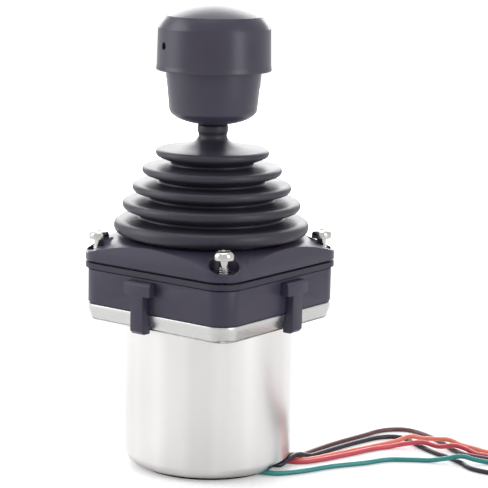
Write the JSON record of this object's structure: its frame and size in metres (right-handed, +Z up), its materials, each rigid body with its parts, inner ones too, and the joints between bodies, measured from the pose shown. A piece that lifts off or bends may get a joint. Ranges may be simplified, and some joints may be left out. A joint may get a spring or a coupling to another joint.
{
  "type": "industrial joystick",
  "caption": "Panel joystick with a spring-centred two-axis lever, a twist cap, a rubber bellows, a square bezel, a round metal can and flying leads.",
  "frame": {"origin": "centre of the base cover's underside, on the axis of the upright lever", "axes": "+Z up along the lever at rest, X and Y square to the sides of the bezel; the leads come out between +X and +Y"},
  "size_m": [0.1651, 0.0996, 0.1408],
  "materials": {
    "can_metal": "satin, fine turned grain",
    "flange_metal": "satin, machined",
    "black_plastic": "fine moulded texture",
    "knob_plastic": "satin moulded",
    "boot_rubber": "matte",
    "gasket_rubber": "matte",
    "zinc_steel": "bright zinc plated",
    "steel": "ground",
    "brass": "knurled",
    "bearing_plastic": "self-lubricating plastic",
    "circuit_board": "solder resist",
    "magnet": "nickel plated",
    "light_plastic": "moulded",
    "grommet_rubber": "matte",
    "brown_sleeve": "soft PVC",
    "black_sleeve": "soft PVC",
    "red_sleeve": "soft PVC",
    "orange_sleeve": "soft PVC",
    "green_sleeve": "soft PVC"
  },
  "bodies": {
    "base_unit": {"can": "can_metal", "base_cover": "black_plastic", "mounting_flange": "flange_metal", "body_frame": "black_plastic", "snap_clips": "black_plastic", "thread_inserts": "brass", "panel_gasket": "gasket_rubber", "bezel": "black_plastic", "bezel_screws": "zinc_steel", "bellows_boot": "boot_rubber", "boot_clamp_ring": "steel", "lead_grommet": "grommet_rubber", "gimbal_chassis": "black_plastic", "gate_plate": "steel", "gate_screws": "zinc_steel", "chassis_bushes": "bearing_plastic", "centring_spring": "steel", "board_pillars": "brass", "main_board": "circuit_board", "board_screws": "zinc_steel", "tilt_sensor": "black_plastic", "lead_terminals": "light_plastic", "brown_lead": "brown_sleeve", "black_lead": "black_sleeve", "red_lead": "red_sleeve", "orange_lead": "orange_sleeve", "green_lead": "green_sleeve"},
    "gimbal": {"gimbal_ring": "steel", "gimbal_axles": "steel"},
    "lever": {"pivot_block": "steel", "pivot_pins": "steel", "lever_shaft": "steel", "spring_collar": "steel", "magnet_holder": "light_plastic", "tilt_magnet": "magnet", "knob_cup": "knob_plastic", "shaft_nut": "zinc_steel", "twist_board": "circuit_board", "cup_lid": "black_plastic", "return_spring": "steel"},
    "knob": {"twist_cap": "knob_plastic", "cap_dome": "knob_plastic", "twist_spindle": "steel", "spindle_clip": "steel", "twist_magnet": "magnet", "grub_screw": "steel"}
  },
  "joints": [
    {"name": "tilt_x", "type": "hinge", "parent": "base_unit", "child": "gimbal", "pos_m": [0, 0, 0.0575], "axis": [1, 0, 0], "range_deg": [-18, 18], "stiffness_Nm_per_rad": 1, "deforming": ["bellows_boot", "centring_spring"]},
    {"name": "tilt_y", "type": "hinge", "parent": "gimbal", "child": "lever", "pos_m": [0, 0, 0.0575], "axis": [0, 1, 0], "range_deg": [-18, 18], "stiffness_Nm_per_rad": 1, "deforming": ["bellows_boot", "centring_spring"]},
    {"name": "twist", "type": "hinge", "parent": "lever", "child": "knob", "pos_m": [0, 0, 0.1275], "axis": [0, 0, 1], "range_deg": [-30, 30], "stiffness_Nm_per_rad": 0.05, "deforming": ["return_spring"]}
  ]
}
